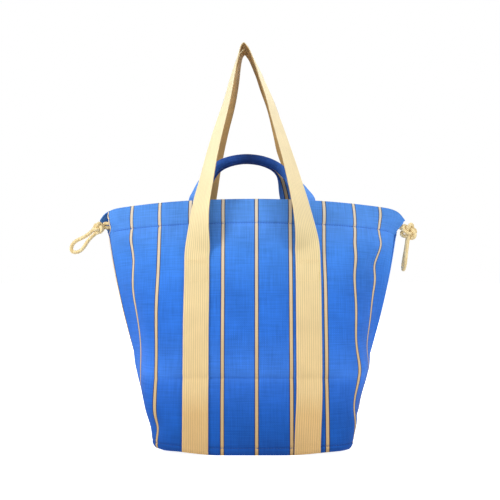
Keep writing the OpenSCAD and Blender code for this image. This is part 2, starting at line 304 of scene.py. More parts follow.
def ease(q):
    """Rises from 0 to 1 as q does, starting and ending softly."""
    held = np.clip(q, 0, 1)
    return held * held * (3 - 2 * held)


def bump(value, centre, spread):
    """1 at the centre, and fading to 0 on both sides over the spread."""
    return np.exp(-(((value - centre) / spread) ** 2))


def heading(s, t):
    """Direction of the cloth in radians, 0 along X, at s across and t up."""
    past_corner = s - corner_at - corner_shift * t
    corner = ease(past_corner / (2 * (corner_half + corner_spread * t)) + 0.5)
    turn = (base_turn + rim_turn * t**rim_power) * s / half_w
    return np.radians(turn + corner_turn * (1 - t**corner_power) * corner)


s_lines = np.linspace(0, half_w, 97)
t_lines = np.linspace(0, 1, 81)
s_middles = (s_lines[1:] + s_lines[:-1]) / 2
turns = heading(s_middles[None, :], t_lines[:, None])
run_x = np.cumsum(np.cos(turns), axis=1) * s_lines[1]
run_y = np.cumsum(np.sin(turns), axis=1) * s_lines[1]
run_x = np.hstack([np.zeros((len(t_lines), 1)), run_x])
run_y = np.hstack([np.zeros((len(t_lines), 1)), run_y])


def look_up(table, s, t):
    """Value of a table between its lines."""
    column = np.clip(s / s_lines[1], 0, len(s_lines) - 1.001)
    row = np.clip(t / t_lines[1], 0, len(t_lines) - 1.001)
    i, j = row.astype(int), column.astype(int)
    f, g = row - i, column - j
    low = table[i, j] * (1 - g) + table[i, j + 1] * g
    high = table[i + 1, j] * (1 - g) + table[i + 1, j + 1] * g
    return low * (1 - f) + high * f


# the hem's tips reach out beyond the seam, and the corners of the foot are lifted
ear_reach = {"left": 3 * mm, "right": 12 * mm}
ear_power = 14
ear_z, ear_spread = 358 * mm, 12 * mm
corner_lift = {"left": 7.5 * mm, "right": 6.0 * mm}
lift_from, lift_run, lift_fades = 45 * mm, 95 * mm, 70 * mm


def cloth_point(s, t, inset):
    """Points of the front wall: s across, t up, inset from its outer face along the normal."""
    s, t, inset = np.broadcast_arrays(np.asarray(s, float), t, inset)
    across = np.abs(s)
    side = np.where(s < 0, -1.0, 1.0)
    turn = heading(across, t)
    depth = look_up(run_y, np.full_like(across, half_w), t)
    reach = np.where(s < 0, ear_reach["left"], ear_reach["right"])
    ear = reach * (across / half_w) ** ear_power * bump(t * bag_h, ear_z, ear_spread)
    x = side * (look_up(run_x, across, t) - inset * np.sin(turn) + ear)
    y = look_up(run_y, across, t) - depth + inset * np.cos(turn)
    share = across / half_w
    z = t * (bag_h - rim_drop * share**2 - tip_drop * share**tip_power)
    low = np.clip(1 - z / lift_fades, 0, 1) ** 2
    lift = np.where(s < 0, corner_lift["left"], corner_lift["right"])
    lift = lift * ease((across - lift_from) / lift_run)
    return np.stack([x, np.minimum(-0.2 * mm, y), z + lift * low], -1)


print("depth at the base:", round(2 * run_y[0, -1] / mm), "mm")

# %% [markdown]
# ## Sag, creases and puckers
# Canvas that has been folded in a box keeps a sharp crease, and a hem that is drawn by its cord
# puffs out and puckers along its stitching. These are small moves along the cloth's normal, and
# every layer sewn to the wall follows the same moves, so nothing lifts off or sinks in.

# %% Relief of the wall
crease_z = 109 * mm
hem_stitch = bag_h - hem_h + 2 * mm
seam_line_z = 11 * mm
chance = np.random.default_rng(7)
waves = [
    (chance.uniform(8, 34), chance.uniform(6, 26), chance.uniform(0, 6.28)) for _ in range(7)
]
# how full the lower sides stand: side, where it starts across, reach, height, spread, in mm
fullness = [
    (-1, 125, 5.0, 66, 46), (-1, 125, 2.2, 115, 48),
    (1, 130, 7.0, 120, 27), (1, 130, 6.5, 42, 23), (1, 130, 2.2, 82, 28),
]
# folds below the knots and one at the foot: depth, middle and spread across, then up, in mm
folds = [
    (4.5, 196, 24, 312, 13), (-6.5, 205, 22, 278, 17), (3.0, 158, 18, 284, 18),
    (-2.0, 150, 16, 310, 12), (2.5, -196, 20, 318, 12), (-3.0, -200, 22, 285, 18),
    (2.5, -205, 24, 235, 26), (-5.0, -144, 20, 36, 17),
]


def slack(s, z):
    """Soft waves of cloth that hangs under no load."""
    total = 0.0 * s
    for across, up, phase in waves:
        total = total + np.sin(across * s * 2.2 + up * z * 2.6 + phase)
    return 0.45 * mm * total


def relief(s, z):
    """How far the wall stands out from its smooth shape, outwards."""
    sides = ease((np.abs(s) - 20 * mm) / (120 * mm))
    out = slack(s, z) * (0.5 + sides)
    at_front = 1 - 0.85 * ease((np.abs(s) - 100 * mm) / (50 * mm))
    out = out - 2.9 * mm * at_front * np.exp(-np.abs(z - crease_z) / (6 * mm))
    hem = np.clip((z - hem_stitch) / (bag_h - hem_stitch), 0, 1)
    out = out + 2.0 * mm * np.sin(np.pi * hem) ** 0.8 * (hem > 0) * (hem < 1)
    out = out - 1.0 * mm * bump(z, hem_stitch, 1.8 * mm)
    for side, start, reach, up, tall in fullness:
        at_side = ease((side * s - start * mm) / (40 * mm))
        out = out + reach * mm * at_side * bump(z, up * mm, tall * mm)
    out = out - 0.9 * mm * bump(z, seam_line_z, 2.0 * mm)
    pucker = np.sin(s / (3.1 * mm)) * np.sin(s / (7.7 * mm) + 1)
    out = out + 0.35 * mm * pucker * bump(z, hem_stitch - 4 * mm, 7 * mm)
    return out


def side_folds(s, z):
    """Folds that the weight of the knots draws below the hem, and slack at the foot's corners."""
    out = 0.0 * s
    for depth, across, wide, up, tall in folds:
        out = out + depth * mm * bump(s, across * mm, wide * mm) * bump(z, up * mm, tall * mm)
    return out


# %% [markdown]
# ## The walls
# Each wall is one cloth. It rises from the base, turns over at the rim, and comes down inside to
# make the drawstring tunnel. The tunnel's inner layer stops short of the side seams, and the
# edge of the wall is drawn back beside it: that is where the cord comes out.

# %% Bend a wall
fold_r = (canvas_t + gap) / 2
fold_start = bag_h - canvas_t / 2 - fold_r
fold_end = fold_start + math.pi * fold_r
cut_length = fold_end + hem_h - (bag_h - fold_start)
tunnel_depth = 6.6 * mm
tunnel_profile = np.array([(0, 0), (1.5, 0), (8, 0.45), (14, 1), (33.5, 1), (36, 0), (40, 0)])
tunnel_end = 215 * mm
slot_low, slot_high, slot_ramp = 0.922, 0.966, 0.01


def wall_profile(v):
    """Height and inset of the wall's middle surface at v along the cut."""
    turn = np.clip((v - fold_start) / fold_r, 0, math.pi)
    down = np.maximum(0, v - fold_end)
    height = np.minimum(v, fold_start) + fold_r * np.sin(turn) - down
    inset = canvas_t / 2 + fold_r * (1 - np.cos(turn))
    below_rim = (bag_h - height) / mm
    bulge = np.interp(below_rim, tunnel_profile[:, 0], tunnel_profile[:, 1])
    return height, inset + tunnel_depth * bulge * (down > 0)


def slot_part(t):
    """1 beside the tunnel's mouth, 0 above and below it."""
    inside = np.minimum(t - slot_low + slot_ramp, slot_high + slot_ramp - t)
    return np.clip(inside / slot_ramp, 0, 1)


def mouth(s, t):
    """How far the hem's layers part beside the tunnel's mouth, to let the cord out."""
    near_edge = ease((np.abs(s) - half_w + 26 * mm) / (18 * mm))
    return 3.3 * mm * near_edge * bump(t, (slot_low + slot_high) / 2, 0.026)


def draw_in(u, amount):
    """Draws the last 30 mm of the cloth's edge in by an amount, and leaves the rest alone."""
    near_edge = ease((np.abs(u) - half_w + 30 * mm) / (30 * mm))
    return u - np.sign(u) * amount * near_edge


def bottom_roll(z):
    """The lowest part of the wall turns in towards the seam of the base."""
    return 3.2 * mm * np.clip(1 - z / (9 * mm), 0, 1) ** 2


def hang(s, height, inset, side, fold_share):
    """A wall's cloth at s and height. The side is 1 for the front and -1 for the back."""
    out = relief(side * s, height) + fold_share * side_folds(side * s, height)
    out = out * ease((half_w - np.abs(s)) / (14 * mm))
    t = height / bag_h
    points = cloth_point(s, t, inset - out + bottom_roll(height))
    points[..., 1] -= mouth(s, t)
    return points * np.array([side, side, 1.0])


def front_wall(u, v):
    height, inset = wall_profile(v)
    t = height / bag_h
    left_hem_end = ease((t - 0.905) / 0.02) * (u < 0)
    eased = u + 3.5 * mm * bump(u, 125 * mm, 65 * mm)
    s = draw_in(eased, 2 * mm * slot_part(t) + 5 * mm * left_hem_end)
    return hang(s, height, inset, 1.0, 1.0)


def back_wall(u, v):
    height, inset = wall_profile(v)
    s = draw_in(u, 1 * mm * slot_part(height / bag_h))
    return hang(s, height, inset, -1.0, 0.6)


def rows_with_detail(first, last, step):
    """Rows up a wall, closer together at the seams and at the crease."""
    heights = [first]
    while heights[-1] < last - step / 2:
        near = max(
            bump(heights[-1], z, 7 * mm) for z in (seam_line_z, crease_z, hem_stitch)
        )
        heights.append(heights[-1] + step * (1 - 0.78 * near))
    heights[-1] = last
    return np.array(heights)


def make_wall(name, place):
    columns = np.linspace(-half_w, half_w, 193)
    rising = rows_with_detail(0.8 * mm, fold_start, 3.6 * mm)
    folding = np.linspace(fold_start, fold_end, 7)[1:]
    falling = np.linspace(fold_end, cut_length, 20)[1:]
    wall = cut_cloth(name, columns, np.concatenate([rising, folding, falling]))
    trim(wall, lambda u, v: v > fold_end and abs(u) > tunnel_end)
    bend(wall, place)
    thicken(wall, canvas_t)
    smooth(wall, 60)
    return wall


front_cloth = make_wall("front_wall", front_wall)
back_cloth = make_wall("back_wall", back_wall)
print("wall:", len(front_cloth.data.polygons), "faces; cut", round(cut_length / mm), "mm long")

# %% Attach the walls to the bag, in place of the frame's panels
for wall, panel, casing in (
    (front_cloth, "front_panel", "front_casing"),
    (back_cloth, "back_panel", "back_casing"),
):
    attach(wall, "bag")
    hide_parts(panel, casing)

# %% [markdown]
# ## The base
# The base is one more cut of the same canvas. It lies on the ground and is bent up a little
# where the walls are sewn to it, so it is laid between the front and back seam lines.

# %% Lay the base
base_columns = np.linspace(-half_w, half_w, 97)
base_rows = np.linspace(0, 1, 25)
seam_z = 0.8 * mm
base_z = 0.75 * mm
lowest_z = 0.65 * mm


def base_ring(v):
    """One row across the base, from the front seam at v = 0 to the back seam at v = 1."""
    seam = cloth_point(base_columns, seam_z / bag_h, canvas_t / 2 + bottom_roll(seam_z))
    row = seam * (1 - v) + seam * np.array([1.0, -1.0, 1.0]) * v
    near_side = ease((np.abs(base_columns) - 112 * mm) / (34 * mm))
    near_seam = np.maximum(np.abs(2 * v - 1) ** 6, near_side)
    sag = 0.5 * slack(row[:, 0], row[:, 1] * 2) * 4 * v * (1 - v)
    row[:, 2] = base_z + np.maximum(0, seam[:, 2] - seam_z) * near_seam + sag
    return row


base_cloth = lay_strip("base", np.array([base_ring(v) for v in base_rows]))
base_uv = base_cloth.data.uv_layers["cut"].data
base_points = points_of(base_cloth)
for corner in base_cloth.data.loops:
    base_uv[corner.index].uv = base_points[corner.vertex_index][:2]
base_points[:, 2] = np.maximum(base_points[:, 2], lowest_z)
move_points(base_cloth, base_points)
thicken(base_cloth, canvas_t)
smooth(base_cloth)
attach(base_cloth, "bag")
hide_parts("base_panel")

# %% [markdown]
# ## Webbing shoulder straps
# Webbing comes on a roll. A strap is one length of it: up from the base, over the top and down
# again, sewn flat to the wall up to a box of stitches and free above that. It twists as it rises,
# because its two ends face the same way and its top lies across the hand.

# %% Route of the webbing
webbing_w = 38 * mm
webbing_t = 2.0 * mm
rib_count = 12
strap_x = 82 * mm
strap_length = 1254 * mm
leaves_wall = 293 * mm
strap_top = 606 * mm
widths = np.linspace(-webbing_w / 2, webbing_w / 2, 4 * rib_count + 1)
# points along the free loop: across, out, up in mm, and the twist of the webbing in degrees
free_route = [
    (-81, -72.6, 294, 8), (-80, -74, 310, 22), (-79, -74.5, 328, 34), (-77, -74, 350, 43),
    (-74, -72.5, 370, 48), (-68, -68.5, 398, 54), (-62, -63, 428, 59), (-54, -56, 462, 63),
    (-46, -49.5, 492, 67), (-38, -42, 522, 72), (-32, -35, 550, 76), (-26.5, -28, 575, 81),
    (-21, -22.5, 595, 86), (-17.5, -20.5, 604, 88), (-13, -20, 608, 90), (-8, -20.5, 604, 88),
    (-2, -22.5, 595, 86), (7, -28, 575, 81), (16, -35, 550, 76), (26, -42, 522, 72),
    (35, -49.5, 492, 67), (44, -56, 462, 63), (54, -63, 428, 59), (62, -68.5, 398, 54),
    (69, -72.5, 370, 48), (73.5, -74, 350, 43), (77.5, -74.5, 328, 34), (80, -74, 310, 22),
    (81, -72.6, 294, 8),
]


def through(points, parts):
    """Smooth curve through the points, each span cut into parts."""
    points = np.asarray(points, float)
    made = []
    for i in range(len(points) - 1):
        a, b = points[max(0, i - 1)], points[i]
        c, d = points[i + 1], points[min(len(points) - 1, i + 2)]
        for f in np.arange(parts) / parts:
            made.append(
                0.5 * (2 * b + (c - a) * f + (2 * a - 5 * b + 4 * c - d) * f**2
                       + (3 * b - a - 3 * c + d) * f**3)
            )
    made.append(points[-1])
    return np.array(made)


def unit(vectors):
    return vectors / np.linalg.norm(vectors, axis=-1, keepdims=True)


def directions(path):
    """Direction of travel at each point of a path."""
    return unit(np.gradient(path, axis=0))


def sewn_rings(side):
    """Rings of the leg that lies on the wall, from the base up."""
    made = []
    for height in np.arange(1.5, 291, 3.5) * mm:
        drift = 3.5 * mm * ease(1 - height / (110 * mm)) if side > 0 else 0.0
        s = side * (strap_x - drift) + widths
        lift = gap + webbing_t / 2 + relief(s, height) * 0.9
        made.append(cloth_point(s, height / bag_h, -lift + bottom_roll(height)))
    return np.array(made)


def free_rings():
    """Rings of the loop above the stitching, twisted as the route says."""
    route = through(free_route, 7)
    path = route[:, :3] * mm
    along = directions(path)
    level = unit(np.cross([0.0, 1.0, 0.0], along))
    deep = np.cross(along, level)
    twist = np.radians(route[:, 3])[:, None]
    wide = level * np.cos(twist) - deep * np.sin(twist)
    return path[:, None, :] + wide[:, None, :] * widths[None, :, None]


def strap_rings(outward):
    """The whole strap, with the two places where it leaves the wall eased into each other."""
    rings = np.concatenate([sewn_rings(-1), free_rings(), sewn_rings(1)[::-1, ::-1]])
    for _ in range(6):
        eased = rings.copy()
        eased[1:-1] = (rings[:-2] + 2 * rings[1:-1] + rings[2:]) / 4
        near = bump(rings[:, :, 2:3], leaves_wall, 9 * mm)
        rings = rings * (1 - near) + eased * near
    height = rings[:, :, 2]
    sway = ease((height - 325 * mm) / (55 * mm)) * ease((strap_top - height) / (140 * mm))
    sway = sway - 0.45 * bump(height, 455 * mm, 26 * mm)
    drawn_back = ease((height - 440 * mm) / (60 * mm)) * ease((strap_top - height) / (60 * mm))
    sway = sway - 0.25 * drawn_back
    tilt = 0.33 * ease((height - 480 * mm) / (70 * mm))
    tilt = tilt - 0.2 * ease((height - 565 * mm) / (35 * mm))
    rings[:, :, 0] += outward * (sway * (rings[:, :, 0] > 0) + tilt)
    return rings


def webbing_ribs(across, along):
    """Warp ribs that run the length of the webbing, with a flatter selvedge at each edge."""
    rib = np.abs(np.sin(across / webbing_w * math.pi * rib_count))
    edge = ease((webbing_w / 2 - np.abs(across)) / (1.2 * mm))
    mid_piece = ease((np.minimum(along, strap_length - along) - 300 * mm) / (60 * mm))
    return 0.3 * mm * (1 - 0.6 * mid_piece) * rib**0.7 * edge - 0.35 * mm * (1 - edge)


def mark_inner_face(sheet):
    """Keeps 1 on the points of the face that is turned to the bag, and 0 on the others."""
    count = len(sheet.data.vertices)
    inner = (np.arange(count) >= count // 2).astype(np.float32)
    kept = sheet.data.attributes.new("inner", "FLOAT", "POINT")
    kept.data.foreach_set("value", inner)


def flip(piece):
    """Turns every face over."""
    pick(piece)
    bpy.ops.object.mode_set(mode="EDIT")
    bpy.ops.mesh.select_all(action="SELECT")
    bpy.ops.mesh.flip_normals()
    bpy.ops.object.mode_set(mode="OBJECT")


# %% [markdown]
# The back strap is the front one's twin, but its top leans the same way as the front's, so it is
# mirrored front to back and not turned. A mirror turns a mesh inside out, so its faces are
# flipped back. Its right leg also stands a little further out than the front strap's.

# %% Make the two straps
no_turn = np.array([1.0, 1.0, 1.0])
mirror_turn = np.array([1.0, -1.0, 1.0])
straps = []
for where, turn, outward in (("front", no_turn, 0.0), ("back", mirror_turn, 9 * mm)):
    name = f"{where}_strap"
    strap = lay_strip(name, strap_rings(outward))
    thicken(strap, webbing_t - 0.4 * mm)
    mark_inner_face(strap)
    emboss(strap, webbing_ribs)
    move_points(strap, points_of(strap) * turn)
    if turn[1] < 0:
        flip(strap)
    smooth(strap, 70)
    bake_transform(strap)
    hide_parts(f"{name}_sewn_left", f"{name}_sewn_right", f"{name}_loop")
    straps.append(strap)
print("strap:", len(straps[0].data.polygons), "faces")

# %% [markdown]
# ## Rolled grab handles
# A handle is a strip of the striped canvas folded round a soft cord. Its legs are pressed flat
# and sewn inside the hem, and its middle is a round grip. It is a strip rolled into a tube, so
# its section goes from a flat oval to a circle along the way.

# %% Route and section of a handle
grip_d = 14 * mm
leg_w = 22 * mm
leg_t = 3.4 * mm
foot_y, top_y = -45.5, -7.7
foot_z, top_z = 368.5, 436
lean = (top_y - foot_y) / (top_z - foot_z)
# points along each handle in mm: across and up
front_handle_route = [
    (-85, foot_z), (-81, 378), (-76, 389), (-70, 401), (-64, 412), (-56, 421.5), (-45, 428.5),
    (-30, 433.5), (-11, top_z), (8, 434.5), (24, 430), (37, 423.5), (47, 415), (56, 405),
    (66, 393), (75, 381), (84, foot_z),
]
back_handle_route = [
    (-85, foot_z), (-82, 379), (-78, 390), (-72.5, 401), (-65, 412), (-56, 421.5), (-45, 428.5),
    (-30, 433.5), (-11, top_z), (8, 434.5), (23, 430.5), (35, 424.5), (43.5, 416), (48.5, 405),
    (52, 393), (55, 381), (57, foot_z),
]
tab_inset = 11.9 * mm
tab_heights = np.array([336, 344, 352, 360]) * mm
grip_from = {"left": 421.5, "right": 416.0}
grip_run = 34


def handle_line(route):
    """Centre of the handle from one tab's end to the other."""
    plane = [(x, foot_y + lean * (z - foot_z), z) for x, z in route]
    tabs = []
    for x, _ in (route[0], route[-1]):
        t = tab_heights / (bag_h - rim_drop * (x * mm / half_w) ** 2)
        tabs.append(cloth_point(np.full(len(t), x * mm), t, tab_inset) / mm)
    path = np.concatenate([tabs[0], plane, tabs[1][::-1]])
    return through(path, 5) * mm


def handle_sizes(path):
    """Width, thickness and squareness of the section at each point."""
    height = path[:, 2] / mm
    centre = path[np.argmax(height), 0]
    round_at = np.where(path[:, 0] < centre, grip_from["left"], grip_from["right"])
    roundness = ease((height - (round_at - grip_run)) / grip_run)
    width = leg_w + (grip_d - leg_w) * roundness
    thick = leg_t + (grip_d - leg_t) * roundness**1.2
    power = 0.35 + 0.65 * roundness
    return width, thick, power


def oval(width, thick, power, sides):
    """A section between a flat strap and a circle, its points evenly spaced round the edge."""
    angle = np.linspace(0, 2 * math.pi, 20 * sides + 1) + math.pi / 2
    c, s = np.cos(angle), np.sin(angle)
    a = np.sign(c) * np.abs(c) ** power * width / 2
    b = np.sign(s) * np.abs(s) ** power * thick / 2
    run = np.concatenate([[0.0], np.cumsum(np.hypot(np.diff(a), np.diff(b)))])
    even = np.linspace(0, run[-1], sides + 1)
    return np.stack([np.interp(even, run, a), np.interp(even, run, b)], -1)


def handle_rings(route, sides=36):
    """Sections of the handle along its line, each at right angles to it."""
    path = handle_line(route)
    along = directions(path)
    out = unit(np.array([0.0, -1.0, lean]))
    wide = unit(np.cross(along, out))
    out = np.cross(wide, along)
    width, thick, power = handle_sizes(path)
    rings = []
    for k in range(len(path)):
        section = oval(width[k], thick[k], power[k], sides)
        rings.append(path[k] + section[:, :1] * wide[k] + section[:, 1:] * out[k])
    return np.array(rings)


# %% Roll the handles
handles = []
for where, route, turn in (
    ("front", front_handle_route, no_turn),
    ("back", back_handle_route, mirror_turn),
):
    name = f"{where}_handle"
    handle = lay_strip(name, handle_rings(route)[:, ::-1])
    move_points(handle, points_of(handle) * turn)
    weld(handle)
    thicken(handle, 0.9 * mm, offset=-1.0)
    smooth(handle, 50)
    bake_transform(handle)
    parts = ("tab_left", "tab_right", "leg_left", "leg_right", "grip")
    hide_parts(*[f"{name}_{part}" for part in parts])
    handles.append(handle)

# %% [markdown]
# ## Braided cotton cord
# The drawstring is a 6 mm solid braid. A smooth tube would look like plastic, so the tube's
# radius rises and falls where the braid's strands pass over each other. The rings turn with the
# path but never about it, so the braid doesn't wring itself in a tight bend.


# %% Make a braided cord along a path
def even_steps(path, step):
    """The same path with points a step apart."""
    lengths = np.concatenate([[0.0], np.cumsum(np.linalg.norm(np.diff(path, axis=0), axis=1))])
    count = max(3, int(round(lengths[-1] / step)) + 1)
    wanted = np.linspace(0, lengths[-1], count)
    return np.stack([np.interp(wanted, lengths, path[:, k]) for k in range(3)], -1)


def cord_frames(path):
    """A direction across the path at each point, carried along without turning about it."""
    along = directions(path)
    start = np.cross(along[0], [0.31, 0.87, 0.4])
    across = [unit(start)]
    for direction in along[1:]:
        carried = across[-1] - direction * np.dot(across[-1], direction)
        across.append(unit(carried))
    across = np.array(across)
    return across, np.cross(along, across)


braid = 0.045
braid_run = 4.2 * mm


def braided_cord(name, path, diameter, sides=20, step=0.9 * mm, closed=False):
    """A tube along the path whose surface shows the strands of a braid."""
    path = even_steps(path, step)
    across, beside = cord_frames(path)
    angle = np.linspace(0, 2 * math.pi, sides + 1)
    lengths = np.arange(len(path)) * np.linalg.norm(path[1] - path[0])
    turn = lengths[:, None] / braid_run * math.pi
    weave = np.sin(3 * angle[None, :] + turn) * np.sin(3 * angle[None, :] - turn)
    radius = diameter / 2 * (1 - braid + braid * weave * 1.4)
    ring = np.cos(angle)[None, :, None] * across[:, None, :]
    ring = ring + np.sin(angle)[None, :, None] * beside[:, None, :]
    rings = path[:, None, :] + ring * radius[:, :, None]
    if not closed:
        for end in (0, -1):
            rings[end] = (path[end] + rings[end]) / 2
    cord = lay_strip(name, rings)
    weld(cord)
    pick(cord)
    bpy.ops.object.mode_set(mode="EDIT")
    bpy.ops.mesh.select_all(action="SELECT")
    bpy.ops.mesh.fill_holes(sides=sides + 4)
    bpy.ops.mesh.normals_make_consistent(inside=False)
    bpy.ops.object.mode_set(mode="OBJECT")
    smooth(cord, 80)
    return cord


# %% [markdown]
# ## Drawstring in the hem
# Each tunnel carries one length of cord. It can be seen only at its two ends, beside the slots,
# so its braid is drawn more coarsely than that of the loops.

# %% Run the drawstring
cord_d = 6 * mm
cord_inset = canvas_t + gap + cord_d / 2 + 0.1 * mm
cord_runs = {"front": (0.9384, 1.0), "back": (0.9203, -1.0)}
for where, (t, side) in cord_runs.items():
    run_s = np.linspace(-221, 221, 60) * mm
    run = cloth_point(run_s, t, cord_inset - 0.6 * mm) * np.array([1.0, side, 1.0])
    strand = braided_cord(f"drawstring_{where}", run, cord_d * 0.97, sides=14, step=2 * mm)
    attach(strand, "bag")
    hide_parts(f"drawstring_{where}")

# %% [markdown]
# ## Knots
# Both strands come out of the slots and are tied together. An overhand knot follows a trefoil:
# it goes twice round while it dips under and over itself three times. The cord is doubled in
# it, so each knot is two trefoils, one turned against the other. The left knot is pulled tight
# into a ball, and the right one is looser and longer.

# %% Tie the knots
left_knot_at = np.array([-239.8, -2.5, 328]) * mm
right_knot_at = np.array([244, -2, 323.5]) * mm


def trefoil(centre, sizes, axes, shift):
    """Closed overhand knot about a centre, with half sizes along three axes."""
    angle = np.linspace(0, 2 * math.pi, 121)
    wide = (np.sin(angle) + 2 * np.sin(2 * angle)) / 3
    tall = (np.cos(angle) - 2 * np.cos(2 * angle)) / 3
    deep = -np.sin(3 * angle)
    axes = np.asarray(axes, float)
    path = centre + shift * axes[2]
    for values, size, axis in zip((wide, tall, deep), sizes, axes):
        path = path + values[:, None] * size * axis
    return path


def turned(axes, degrees):
    """The same three axes turned about the third one."""
    across, up, deep = np.asarray(axes, float)
    c, s = math.cos(math.radians(degrees)), math.sin(math.radians(degrees))
    return [c * across + s * up, c * up - s * across, deep]


# each knot: middle, half sizes in mm, axes, turn of the second trefoil, shifts and cord in mm
knots = {
    "left": (left_knot_at, (7.4, 7.0, 3.4),
             [(0.75, 0.25, 0.6), (-0.62, 0.1, 0.78), (0.14, -0.96, 0.23)], 62, (1.6, -2.4), 5.6),
    "right": (right_knot_at, (9.6, 12.4, 3.6),
              [(0.88, 0.3, 0.38), (-0.42, 0.05, 0.9), (0.28, -0.95, 0.13)], 60, (2.4, -3.2), 5.8),
}
for where, (at, sizes, axes, degrees, shifts, thick) in knots.items():
    half_sizes = np.array(sizes) * mm
    strands = []
    for k, (held, shift) in enumerate(zip((axes, turned(axes, degrees)), shifts)):
        path = trefoil(at, half_sizes, held, shift * mm)
        strands.append(braided_cord(
            f"{where}_knot_cord_{k}", path, thick * mm, sides=18, step=1.0 * mm, closed=True
        ))
    knot = join(strands, f"{where}_knot_cord")
    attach(knot, f"{where}_pull")
    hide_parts(f"{where}_knot")

# %% [markdown]
# ## Cord between the slots and the knots
# These short necks join the hem to the knots.

# %% Lead the cord out of the slots
# each strand: height in the slot, bow to the back, and height above the knot's middle, in mm
neck_starts = [(329.0, -1.2, -1.5), (335.5, 1.2, 2.5)]
for side, knot_at, where in ((-1, left_knot_at, "left"), (1, right_knot_at, "right")):
    strands = []
    for k, (z, bow, rise) in enumerate(neck_starts):
        neck = np.array([
            (side * 217, -bow * 2, z),
            (side * 224, -bow, z),
            (side * 231, 0.0, z - 0.5 * k),
            (knot_at[0] / mm - side * 5, bow, knot_at[2] / mm + rise),
        ]) * mm
        strands.append(
            braided_cord(f"{where}_neck_{k}", through(neck, 6), cord_d * 0.93, sides=16)
        )
    neck_cord = join(strands, f"{where}_neck_cord")
    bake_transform(neck_cord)
    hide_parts(f"{where}_cord_neck")

# %% [markdown]
# ## Pull loops
# Each loop is a free length of the same cord that leaves the knot, hangs, and goes back into it.
# Its length is what shows, and a little more at each end, inside the knot.

# %% Hang the loops
# points of each loop in mm: along its hang, and across it
left_loop_route = [
    (3, 2.6), (10.6, 3.3), (17, 3.3), (24, 4), (31, 5.8), (38, 7.6), (44, 8), (49, 6.6), (53, 3.6),
    (54.5, 0),
    (53, -3.6), (49, -6.6), (44, -8), (38, -7.6), (31, -5.8), (24, -4), (17, -3.3),
    (10.6, -3.3), (3, -2.6),
]
right_loop_route = [
    (6, 2.6), (15.8, 3.3), (22, 3.3), (29, 3.8), (36, 5), (43, 6.6), (50, 7.2), (55, 6.2), (59, 3.6),
    (60.5, 0),
    (59, -3.6), (55, -6.2), (50, -7.2), (43, -6.6), (36, -5), (29, -3.8), (22, -3.3),
    (15.8, -3.3), (6, -2.6),
]
left_slope, right_slope = math.radians(41), math.radians(8)
loops = {
    "left": (left_loop_route, left_knot_at,
             np.array([-math.cos(left_slope), 0, -math.sin(left_slope)]),
             np.array([math.sin(left_slope), 0, -math.cos(left_slope)])),
    "right": (right_loop_route, right_knot_at,
              np.array([-math.sin(right_slope), 0, -math.cos(right_slope)]),
              np.array([0.0, 1.0, 0.0])),
}
for where, (route, at, along, across) in loops.items():
    path = np.array([at + (along * a + across * b) * mm for a, b in route])
    path = through(path, 6)
    loop = braided_cord(f"{where}_loop_cord", path, cord_d)
    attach(loop, f"{where}_pull_loop")
    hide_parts(f"{where}_loop")

# %% [markdown]
# ## Cord cores of the grips
# A soft white cord fills each grip. It shows only if the grip is opened, and it is there because
# a rolled handle isn't round without it.

# %% Fill the grips
core_d = 9 * mm
for where, route, turn in (
    ("front", front_handle_route, no_turn),
    ("back", back_handle_route, mirror_turn),
):
    plane = np.array([(x, foot_y + lean * (z - foot_z), z) for x, z in route[5:13]]) * mm
    core_path = through(plane, 6) * turn
    core = braided_cord(f"{where}_grip_core", core_path, core_d, sides=14, step=2 * mm)
    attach(core, f"{where}_handle")
    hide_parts(f"{where}_handle_core")

# %% [markdown]
# ## Bound seams inside the bag
# The raw edges of the side seams stand into the bag as fins. Each is wrapped in a folded tape,
# so it is a strip bent to a narrow U. The seam of the base has its own band of tape.


# %% Bind the seams
fin_in, fin_half = 18, 1.3


def fin_profile():
    """Outline of the folded tape round its seam, in mm: distance in from the wall, and y."""
    tip_middle = fin_in - fin_half
    tip = [(tip_middle + fin_half * math.sin(a), fin_half * math.cos(a))
           for a in np.linspace(0, math.pi, 9)]
    near = [(d, fin_half) for d in (1.6, 5, 9, 13)]
    return np.array(near + tip + [(d, -y) for d, y in near[::-1]])


fin_heights = np.linspace(16, 322, 70) * mm
fin_outline = fin_profile()
for side, where in ((-1.0, "left"), (1.0, "right")):
    rings = []
    for height in fin_heights:
        t = height / (bag_h - rim_drop - tip_drop)
        wall_x = cloth_point(half_w, t, 0.0)[0]
        lean_in = 1.2 * mm * math.sin(height / (31 * mm))
        ring = np.stack([
            side * (wall_x - fin_outline[:, 0] * mm),
            fin_outline[:, 1] * mm * side + lean_in * fin_outline[:, 0] / fin_in,
            np.full(len(fin_outline), height),
        ], -1)
        rings.append(ring)
    fin = lay_strip(f"{where}_seam_tape", np.array(rings)[:, ::-1])
    thicken(fin, 0.5 * mm, offset=-1.0)
    smooth(fin, 60)
    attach(fin, "bag")
    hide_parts(f"{where}_seam_binding")

half_round = np.linspace(-236, 236, 119) * mm
band_s = np.concatenate([half_round, half_round[::-1]])
band_side = np.concatenate([np.ones(119), -np.ones(119)])
# inset and height of the tape's outline, in mm
band_profile = [(1.7, 2.2), (1.75, 5.0), (1.8, 9.0), (2.1, 11.2), (2.7, 11.5), (3.1, 11.0),
                (3.2, 8.0), (3.2, 2.2)]
band_rings = []
for inset, z in band_profile:
    ring = cloth_point(band_s, z * mm / bag_h, inset * mm + 0.6 * mm + bottom_roll(z * mm))
    ring[:, 1] *= band_side
    band_rings.append(np.concatenate([ring, ring[:1]]))
band_rings = np.array(band_rings).transpose(1, 0, 2)
base_band = lay_strip("base_seam_tape", band_rings)
weld(base_band)
smooth(base_band, 60)
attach(base_band, "bag")
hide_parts("base_seam_binding")

